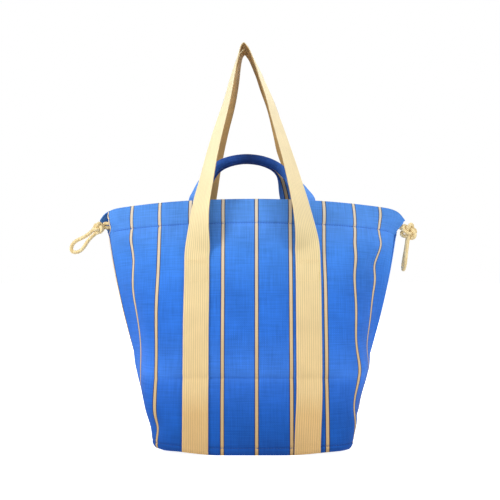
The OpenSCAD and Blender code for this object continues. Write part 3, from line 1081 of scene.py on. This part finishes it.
# %% [markdown]
# ## Stitching
# A stitch is a short bead of thread. One is modelled from a sphere of a few faces, and it is
# copied along every seam line into one mesh for each kind of seam.

# %% Model one stitch
let_go()
bpy.ops.mesh.primitive_uv_sphere_add(segments=6, ring_count=4, radius=0.5)
stitch_model = bpy.context.active_object
stitch_points = points_of(stitch_model)
stitch_faces = [list(face.vertices) for face in stitch_model.data.polygons]
bpy.data.objects.remove(stitch_model)


def between(place, lengths, values):
    """The value at a place along a line whose points lie at the lengths."""
    return np.array([np.interp(place, lengths, values[:, k]) for k in range(3)])


def sew(name, lines, pitch, thread):
    """Stitches along each line; a line is (points, outward normals)."""
    points, faces = [], []
    for path, normal in lines:
        lengths = np.linalg.norm(np.diff(path, axis=0), axis=1)
        lengths = np.concatenate([[0.0], np.cumsum(lengths)])
        for place in np.arange(pitch / 2, lengths[-1], pitch):
            centre = between(place, lengths, path)
            ahead = between(place + pitch / 4, lengths, path)
            forward = unit(ahead - between(place - pitch / 4, lengths, path))
            up = unit(between(place, lengths, normal))
            sideways = np.cross(up, forward)
            first = len(points) * len(stitch_points)
            shape = (
                stitch_points[:, 2:3] * forward * pitch * 0.78
                + stitch_points[:, 0:1] * sideways * thread
                + stitch_points[:, 1:2] * up * thread
            )
            points.append(centre + shape)
            faces.extend([[first + k for k in face] for face in stitch_faces])
    mesh = bpy.data.meshes.new(name)
    mesh.from_pydata(np.concatenate(points).tolist(), [], faces)
    seam = bpy.data.objects.new(name, mesh)
    bpy.context.scene.collection.objects.link(seam)
    weld(seam, 0.001 * mm)
    smooth(seam, 80)
    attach(seam, "bag")
    print(f"{name}: {len(points)} stitches")
    return seam


def wall_line(place, u, v, lift):
    """A line on a wall, with its normals, lifted off the cloth."""
    u, v = np.broadcast_arrays(np.asarray(u, float), np.asarray(v, float))
    step = 0.5 * mm
    points = place(u, v)
    across = place(u + step, v) - place(u - step, v)
    up = place(u, v + step) - place(u, v - step)
    normal = unit(np.cross(across, up))
    return points + normal * lift, normal


surface_lift = canvas_t / 2 + 0.1 * mm
wall_seams = {}
for name, reach, height in (("hem", 226, hem_stitch), ("base", 236, seam_line_z)):
    along = np.linspace(-reach, reach, 300) * mm
    lines = [wall_line(place, along, height, surface_lift) for place in (front_wall, back_wall)]
    wall_seams[name] = sew(
        f"{name}_stitching", lines, pitch=4.0 * mm, thread=0.9 * mm
    )

# %% [markdown]
# The boxes of stitching are what hold a strap. Each has a double line across its top, where the
# pull comes, one line across its bottom, and two up its sides.


# %% Sew the boxes on the straps
def strap_line(side, a, b, turn):
    """A straight line of stitches on a sewn leg, from a to b, each (across, height)."""
    across, height = np.linspace(a, b, 40).T
    s = side * strap_x + across
    lift = gap + webbing_t + relief(s, height) * 0.9 + 0.3 * mm
    points = cloth_point(s, height / bag_h, -lift)
    normal = unit(points - cloth_point(s, height / bag_h, -lift + 1 * mm))
    return points * turn, normal * turn


box_w = 16 * mm
box_low, box_high, box_second = 250 * mm, 280 * mm, 276.5 * mm
box_lines = [
    ((-box_w, box_high), (box_w, box_high)), ((-box_w, box_second), (box_w, box_second)),
    ((-box_w, box_low), (box_w, box_low)),
    ((-box_w, box_low), (-box_w, box_high)), ((box_w, box_low), (box_w, box_high)),
]
strap_seams = [
    strap_line(side, a, b, turn)
    for turn in (no_turn, mirror_turn) for side in (-1, 1) for a, b in box_lines
]
strap_thread = sew(
    "strap_stitching", strap_seams, pitch=2.6 * mm, thread=0.6 * mm
)

# %% [markdown]
# ## Materials
# Every material is woven, so its pattern follows the cloth: it reads the UV map that holds the
# flat cut in metres. One function adds a node with its settings and links.


# %% Node and colour helpers
def add(material, kind, inputs=None, **settings):
    """Adds a node, sets its properties, and fills its inputs with values, sockets or nodes."""
    node = material.node_tree.nodes.new("ShaderNode" + kind)
    for name, value in settings.items():
        setattr(node, name, value)
    for key, value in (inputs or {}).items():
        if isinstance(value, bpy.types.Node):
            value = value.outputs[2 if value.type == "MIX" else 0]
        socket = node.inputs[key]
        if isinstance(value, bpy.types.NodeSocket):
            material.node_tree.links.new(value, socket)
        else:
            socket.default_value = value
    return node


def colour(hex_value):
    """sRGB hex to the linear colour that a shader reads."""
    parts = [int(hex_value[k:k + 2], 16) / 255 for k in (1, 3, 5)]
    linear = [p / 12.92 if p <= 0.04045 else ((p + 0.055) / 1.055) ** 2.4 for p in parts]
    return (*linear, 1.0)


def new_material(name):
    material = bpy.data.materials.new(name)
    material.use_nodes = True
    material.node_tree.nodes.clear()
    return material


def finish_cloth(material, base, roughness, height, strength, depth, sheen, tint="#ffffff"):
    """Ends a material as dull cloth, with a height that breaks up its surface."""
    uneven = add(material, "Bump", {"Height": height, "Strength": strength, "Distance": depth})
    shader = add(material, "BsdfPrincipled", {
        "Base Color": base, "Roughness": roughness, "Normal": uneven, "IOR": 1.5,
        "Specular IOR Level": 0.25, "Sheen Weight": sheen, "Sheen Roughness": 0.5,
        "Sheen Tint": colour(tint),
    })
    add(material, "OutputMaterial", {"Surface": shader})
    return material


def dress(piece, material):
    piece.data.materials.clear()
    piece.data.materials.append(material)


# %% [markdown]
# ### Striped canvas
# Yarn-dyed cotton canvas in a plain weave. The blue is mottled, because the yarn is uneven, and
# the narrow sand stripes have a dark thread on each side. Real canvas has a thread every
# 0.6 mm, which no view here can show, so the threads are drawn every 1.5 mm.

# %% Weave the striped canvas
stripe_pitch = 49.2 * mm
stripe_centre = 5.8 * mm
stripe_half = 2.1 * mm
outline_half = 3.2 * mm
thread_pitch = 1.5 * mm


def ramp(material, factor, stops):
    """Colours along a factor; stops are (position, hex)."""
    node = add(material, "ValToRGB", {0: factor})
    elements = node.color_ramp.elements
    elements[0].position, elements[1].position = stops[0][0], stops[-1][0]
    elements[0].color, elements[1].color = colour(stops[0][1]), colour(stops[-1][1])
    for position, hex_value in stops[1:-1]:
        elements.new(position).color = colour(hex_value)
    return node


def folded(material, along, reach):
    """0 at both ends of a piece and 1 at its middle, which is a reach from each end."""
    there_and_back = add(material, "Math", {0: along, 1: reach}, operation="PINGPONG")
    return add(material, "Math", {0: there_and_back, 1: reach}, operation="DIVIDE")


def within(material, away, half, strength):
    """The strength up to half a stripe's width away from its middle, and 0 beyond."""
    return add(material, "MapRange", {
        "Value": away, "From Min": half - 0.2 * mm, "From Max": half + 0.2 * mm,
        "To Min": strength, "To Max": 0.0,
    })


def yarn_noise(material, cut, stretch):
    """Unevenness of yarn: noise that the stretch draws out along it."""
    place = add(material, "Mapping", {"Vector": cut, "Scale": stretch})
    return add(material, "TexNoise", {"Vector": place, "Scale": 1.0, "Detail": 2.0})


def wave(material, along, spacing):
    """A thread's rise and fall, with a crossing at every spacing."""
    turns = add(material, "Math", {0: along, 1: math.pi / spacing}, operation="MULTIPLY")
    return add(material, "Math", {0: turns}, operation="SINE")


def shaded(material, shade, base, darkest, lightest=1.0):
    """The base colour, made darker and lighter by a shade from 0 to 1."""
    dark = add(material, "VectorMath", {0: base, "Scale": darkest}, operation="SCALE")
    light = add(material, "VectorMath", {0: base, "Scale": lightest}, operation="SCALE")
    return add(material, "Mix", {0: shade, 6: dark, 7: light}, data_type="RGBA")


def striped_canvas(name, blues_and_painted_shade, reach, pitch=stripe_pitch, centre=stripe_centre):
    mat = new_material(name)
    cut = add(mat, "UVMap", uv_map="cut")
    split = add(mat, "SeparateXYZ", {0: cut})
    u, v = split.outputs[0], split.outputs[1]
    # distance from the nearest stripe's middle
    shifted = add(mat, "Math", {0: u, 1: pitch / 2 - centre}, operation="ADD")
    wrapped = add(mat, "Math", {0: shifted, 1: pitch}, operation="FLOORED_MODULO")
    centred = add(mat, "Math", {0: wrapped, 1: pitch / 2}, operation="SUBTRACT")
    away = add(mat, "Math", {0: centred}, operation="ABSOLUTE")
    # uneven yarn along the warp and along the weft, and a broader mottle
    warp = yarn_noise(mat, cut, (620.0, 26.0, 1.0))
    weft = yarn_noise(mat, cut, (22.0, 560.0, 1.0))
    yarn = add(mat, "Math", {0: warp, 1: weft}, operation="ADD")
    mottle = add(mat, "TexNoise", {"Vector": cut, "Scale": 14.0, "Detail": 3.0})
    uneven = add(mat, "Math", {0: mottle, 1: 1.5, 2: yarn}, operation="MULTIPLY_ADD")
    shade = add(mat, "MapRange", {"Value": uneven, "From Min": 1.3, "From Max": 2.2})
    # painted light and shade: a ramp from the ends of the piece to its middle; on a wall it paints
    # the blue darker at the foot and lighter towards the rim, where the light from above falls, and
    # the sand tan at the foot and paler towards the rim
    mid_piece = folded(mat, v, reach)
    blues = shaded(mat, shade, ramp(mat, mid_piece, blues_and_painted_shade), 0.8, 1.2)
    pale = ramp(mat, mid_piece, [(0.0, "#c6a471"), (0.5, "#d8bd92"), (1.0, "#dccdb8")])
    sands = shaded(mat, shade, pale, 0.88)
    edge = within(mat, away, outline_half, 0.95)
    sand = within(mat, away, stripe_half, 1.0)
    edged = add(mat, "Mix", {0: edge, 6: blues, 7: colour("#221f22")}, data_type="RGBA")
    striped = add(mat, "Mix", {0: sand, 6: edged, 7: sands}, data_type="RGBA")
    # plain weave: each warp thread passes over and under the weft in turn
    over_u, over_v = wave(mat, u, thread_pitch), wave(mat, v, thread_pitch)
    plain = add(mat, "Math", {0: over_u, 1: over_v}, operation="MULTIPLY")
    height = add(mat, "Math", {0: plain, 1: 0.5, 2: uneven}, operation="MULTIPLY_ADD")
    rough = add(mat, "MapRange", {
        "Value": uneven, "From Min": 1.0, "From Max": 2.0, "To Min": 0.92, "To Max": 0.8,
    })
    return finish_cloth(mat, striped, rough, height, 0.35, 0.35 * mm, 0.08, "#bcd2ff")


# painted light and shade up the wall: darker at the foot and lighter towards the rim, with a lighter
# band just above the crease, as the light from above falls
wall_blues_and_painted_shade = [
    (0.0, "#07479a"), (0.085, "#0b51a9"), (0.17, "#1558b5"), (0.27, "#2665c6"),
    (0.31, "#3673d2"), (0.48, "#266acd"), (0.62, "#286ccd"), (0.79, "#3a7cd7"),
    (0.90, "#4b86da"), (1.0, "#4c87d6"),
]
canvas = striped_canvas("striped_cotton_canvas", wall_blues_and_painted_shade, bag_h)
for piece in (front_cloth, back_cloth, base_cloth):
    dress(piece, canvas)
# painted light and shade along a handle: the legs lighter, where the light falls on them, and the
# grip darker, as shade between the two straps
handle_blues_and_painted_shade = [(0.0, "#4a7fd0"), (0.42, "#5f93de"), (0.56, "#2f62b8"), (0.8, "#2350a6"),
               (1.0, "#1c3c80")]
# one stripe at the middle of the strip: the next one would be far outside it
one_stripe = {"pitch": 1.0, "centre": 0.0}
for piece in handles:
    half_length = kept_values(piece, "along").max() / 2
    dress(piece, striped_canvas(f"{piece.name}_canvas", handle_blues_and_painted_shade, half_length, **one_stripe))

# %% [markdown]
# ### Cotton webbing
# Heavy woven tape in natural cotton. Its warp stands up in ribs, which catch the light, and the
# furrows between them are painted darker, as shade. Fine weft threads cross the ribs.

# %% Weave the webbing
weft_pitch = 1.1 * mm


def cotton_webbing(name):
    mat = new_material(name)
    cut = add(mat, "UVMap", uv_map="cut")
    split = add(mat, "SeparateXYZ", {0: cut})
    u, v = split.outputs[0], split.outputs[1]
    ridge = add(mat, "Math", {0: wave(mat, u, webbing_w / rib_count)}, operation="ABSOLUTE")
    furrow = add(mat, "MapRange", {"Value": ridge, "From Min": 0.0, "From Max": 0.65})
    yarn = yarn_noise(mat, cut, (900.0, 30.0, 1.0))
    mottle = add(mat, "TexNoise", {"Vector": cut, "Scale": 22.0, "Detail": 3.0})
    uneven = add(mat, "Math", {0: yarn, 1: mottle}, operation="ADD")
    shade = add(mat, "MapRange", {"Value": uneven, "From Min": 0.7, "From Max": 1.3})
    # painted light and shade: the cotton is painted paler up the strap towards its top, where the
    # light falls, and the face turned to the bag is painted darker, as shade
    painted_light_up_strap = ramp(mat, folded(mat, v, strap_length / 2), [
        (0.0, "#dab57c"), (0.09, "#dfba7f"), (0.14, "#eacc94"), (0.3, "#e9cf9a"),
        (0.5, "#efdaa6"), (0.6, "#fae6b6"), (1.0, "#fdefcb"),
    ])
    inner = add(mat, "Attribute", attribute_name="inner")
    face = add(mat, "Mix", {
        0: inner.outputs["Fac"], 6: painted_light_up_strap, 7: colour("#c09a60"),
    }, data_type="RGBA")
    crowns = shaded(mat, shade, face, 0.86)
    # painted shade: the furrows between the ribs are painted darker than the crowns
    painted_groove_shade = add(mat, "VectorMath", {0: face, "Scale": 0.66}, operation="SCALE")
    woven = add(mat, "Mix", {0: furrow, 6: painted_groove_shade, 7: crowns}, data_type="RGBA")
    weft = wave(mat, v, weft_pitch)
    height = add(mat, "Math", {0: weft, 1: 0.3, 2: uneven}, operation="MULTIPLY_ADD")
    return finish_cloth(mat, woven, 0.85, height, 0.25, 0.25 * mm, 0.15, "#fff2d2")


webbing = cotton_webbing("natural_cotton_webbing")
for piece in straps:
    dress(piece, webbing)

# %% [markdown]
# ### Cord, tape and thread
# The cord is the same natural cotton, braided, so its colour changes from strand to strand. The
# tape is a dark blue twill, and the thread is a matt polyester.

# %% Spin the cord, the tape and the thread
def spun_yarn(name, light, dark, scale=(260.0, 90.0, 1.0)):
    mat = new_material(name)
    where = add(mat, "TexCoord")
    place = add(mat, "Mapping", {"Vector": where.outputs["Object"], "Scale": scale})
    strands = add(mat, "TexNoise", {"Vector": place, "Scale": 3.0, "Detail": 4.0})
    shade = add(mat, "MapRange", {"Value": strands, "From Min": 0.35, "From Max": 0.65})
    yarn = add(mat, "Mix", {0: shade, 6: colour(dark), 7: colour(light)}, data_type="RGBA")
    return finish_cloth(mat, yarn, 0.88, strands, 0.5, 0.3 * mm, 0.15)


cord_cotton = spun_yarn("braided_cotton_cord", "#f0dfb0", "#d4b880")
core_cotton = spun_yarn("white_core_cord", "#f4f1e8", "#d9d4c6")
twill_tape = spun_yarn("blue_twill_tape", "#3163bd", "#244e9d", scale=(600.0, 600.0, 90.0))
blue_thread = spun_yarn("blue_thread", "#3a70cc", "#2c5fb8")
navy_thread = spun_yarn("navy_thread", "#1f4b98", "#193d80")
sand_thread = spun_yarn("sand_thread", "#f0dcae", "#dcc08a")
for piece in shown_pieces():
    if "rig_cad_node" in piece:
        continue
    if piece.name.endswith("_cord") or piece.name.startswith("drawstring"):
        dress(piece, cord_cotton)
    if piece.name.endswith("_core"):
        dress(piece, core_cotton)
    if piece.name.endswith("_tape"):
        dress(piece, twill_tape)
dress(wall_seams["hem"], blue_thread)
dress(wall_seams["base"], navy_thread)
dress(strap_thread, sand_thread)

# %% [markdown]
# ## Floor and light
# A pale floor under a white sky gives soft light from everywhere, as in a product studio. A
# softbox at each side in front lets the straps cast a soft shadow on the hem, the left one the
# stronger. One above makes the top of the bag brighter than its foot, and one lights the back.

# %% Light the studio
world = bpy.data.worlds.new("white_studio")
world.use_nodes = True
background = world.node_tree.nodes["Background"]
background.inputs["Color"].default_value = (1.0, 1.0, 1.0, 1.0)
# the first result of a light path node tells whether the camera looks straight at the thing
seen = add(world, "LightPath")
sky = add(world, "MapRange", {
    "Value": seen, "To Min": 0.3, "To Max": 1.0,
})
world.node_tree.links.new(sky.outputs[0], background.inputs["Strength"])
bpy.context.scene.world = world
bpy.context.scene.view_settings.view_transform = "Standard"

let_go()
bpy.ops.mesh.primitive_circle_add(vertices=96, radius=6.0, fill_type="NGON")
floor = bpy.context.active_object
floor.name = "studio_floor"
floor_paint = new_material("matt_white_floor")
floor_seen = add(floor_paint, "LightPath")
floor_glow = add(floor_paint, "MapRange", {
    "Value": floor_seen, "To Min": 0.0, "To Max": 0.95,
})
floor_shader = add(floor_paint, "BsdfPrincipled", {
    "Base Color": colour("#f6f6f4"), "Roughness": 0.9, "Specular IOR Level": 0.1,
    "Emission Color": (1.0, 1.0, 1.0, 1.0), "Emission Strength": floor_glow,
})
add(floor_paint, "OutputMaterial", {"Surface": floor_shader})
dress(floor, floor_paint)
floor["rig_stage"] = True


def lamp(name, place, target, size, watts):
    data = bpy.data.lights.new(name, "AREA")
    data.shape = "DISK"
    data.size = size
    data.energy = watts
    light = bpy.data.objects.new(name, data)
    bpy.context.scene.collection.objects.link(light)
    away = np.array(place, float) - np.array(target, float)
    yaw = math.atan2(away[0], -away[1])
    pitch = math.atan2(math.hypot(away[0], away[1]), away[2])
    light.matrix_world = (
        Matrix.Translation(place) @ Matrix.Rotation(yaw, 4, "Z") @ Matrix.Rotation(pitch, 4, "X")
    )
    return light


lamp("left_softbox", (-1.5, -0.85, 1.0), (0, 0, 0.3), 0.45, 21)
lamp("right_softbox", (1.5, -0.8, 1.0), (0, 0, 0.3), 0.6, 14)
lamp("top_softbox", (0.0, -0.55, 1.6), (0, 0, 0.3), 1.0, 7.5)
lamp("back_softbox", (0.5, 1.6, 1.1), (0, 0, 0.3), 1.2, 20)

# %% [markdown]
# ## Measure and finish
# The finished bag must fill the same box as the frame. Both boxes are written down.

# %% Write the sizes and finish
made_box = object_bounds()
sizes = {
    "cad": [list(map(float, corner)) for corner in cad_box],
    "visual": [list(map(float, corner)) for corner in made_box],
}
print(sizes)
